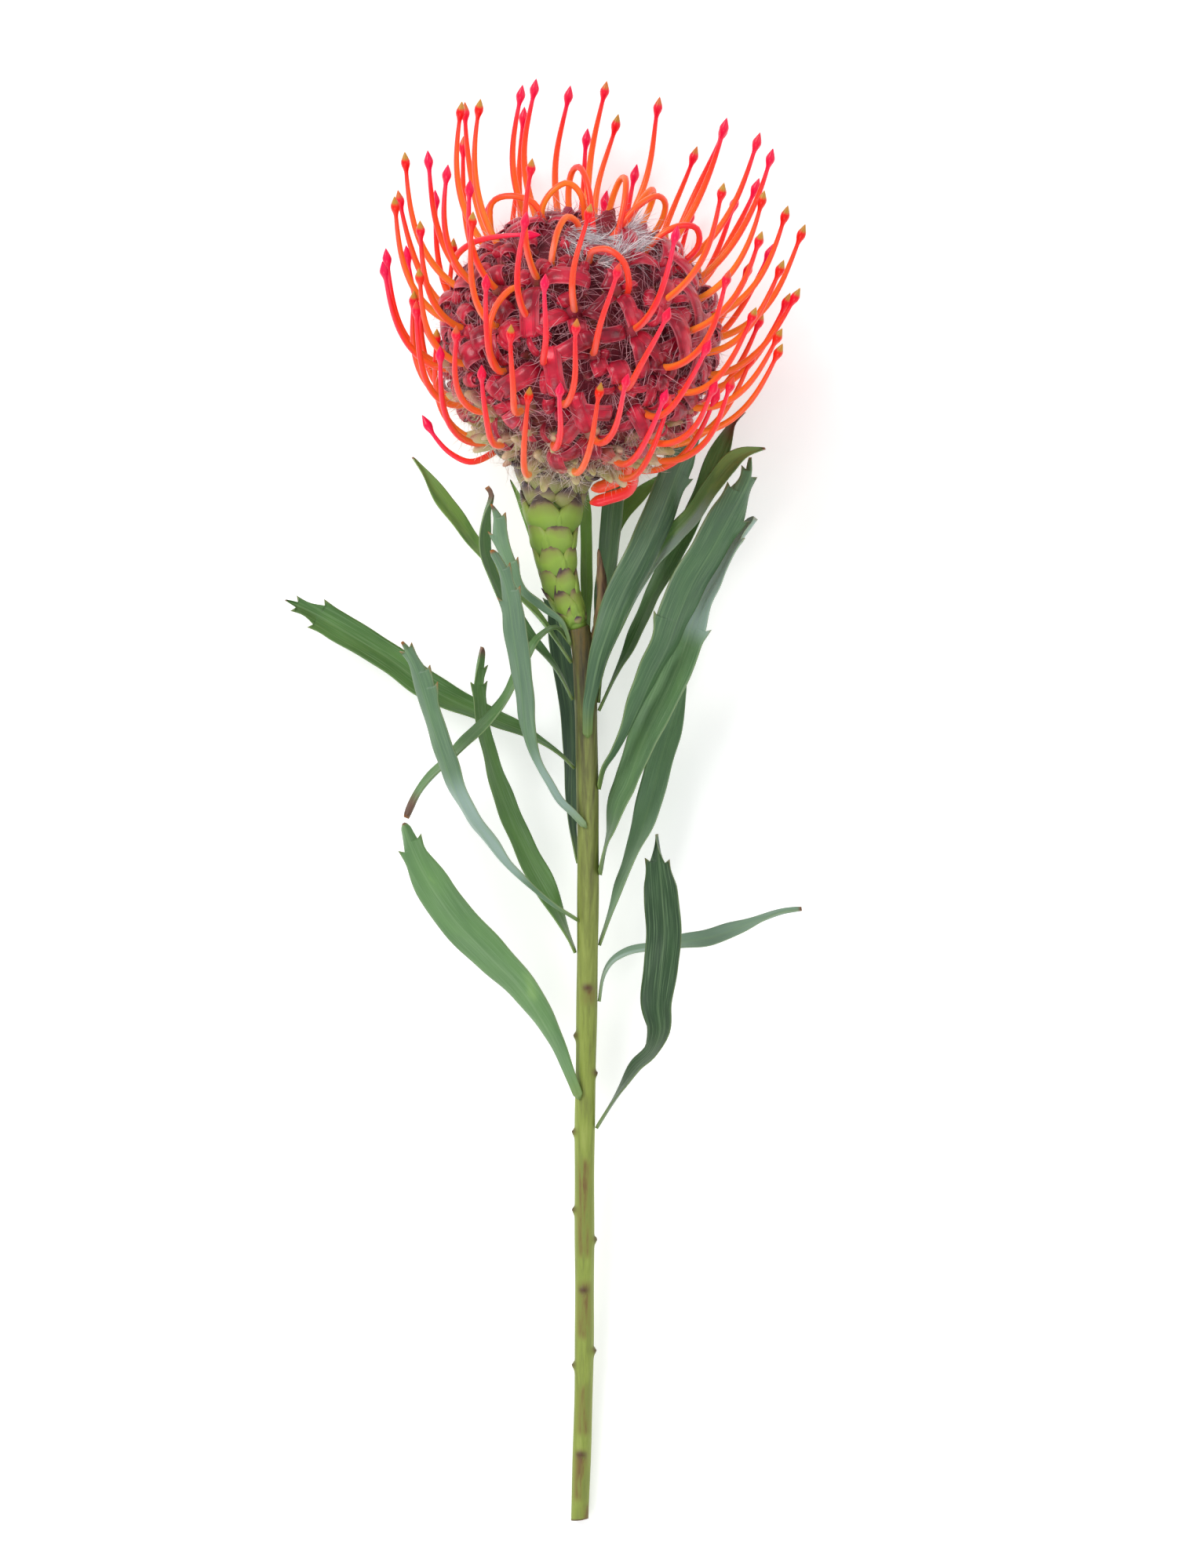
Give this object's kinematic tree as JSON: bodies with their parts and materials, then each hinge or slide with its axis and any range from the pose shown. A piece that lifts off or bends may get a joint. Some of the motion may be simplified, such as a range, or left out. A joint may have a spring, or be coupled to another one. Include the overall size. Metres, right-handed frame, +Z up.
{
  "type": "pincushion protea flower",
  "caption": "Cut pincushion protea: a round crimson flower head with long orange styles on a scaly stalk and a leafy woody stem, lying down.",
  "frame": {"origin": "centre of the outline's box at the level of the surface that the flower lies on", "axes": "+Y along the stem towards the flower head, +Z up from the surface, +X to the right seen from above"},
  "size_m": [0.1391, 0.3864, 0.1064],
  "materials": {
    "bark": "green-brown young bark with leaf scars",
    "stalk": "matt green overlapping scales with brown tips",
    "floret": "crimson curled florets with hairs, and glossy orange styles with pink-red tips",
    "leaf": "leathery satin green"
  },
  "bodies": {
    "root": {"stem": "bark", "flower_stalk": "stalk", "flower_head": "floret", "leaf_01": "leaf", "leaf_02": "leaf", "leaf_03": "leaf", "leaf_04": "leaf", "leaf_05": "leaf", "leaf_06": "leaf", "leaf_07": "leaf", "leaf_08": "leaf", "leaf_09": "leaf", "leaf_10": "leaf", "leaf_11": "leaf", "leaf_12": "leaf", "leaf_13": "leaf", "leaf_14": "leaf", "leaf_15": "leaf", "leaf_16": "leaf", "leaf_17": "leaf", "leaf_18": "leaf", "leaf_19": "leaf", "leaf_20": "leaf", "leaf_21": "leaf", "leaf_22": "leaf"}
  },
  "joints": []
}
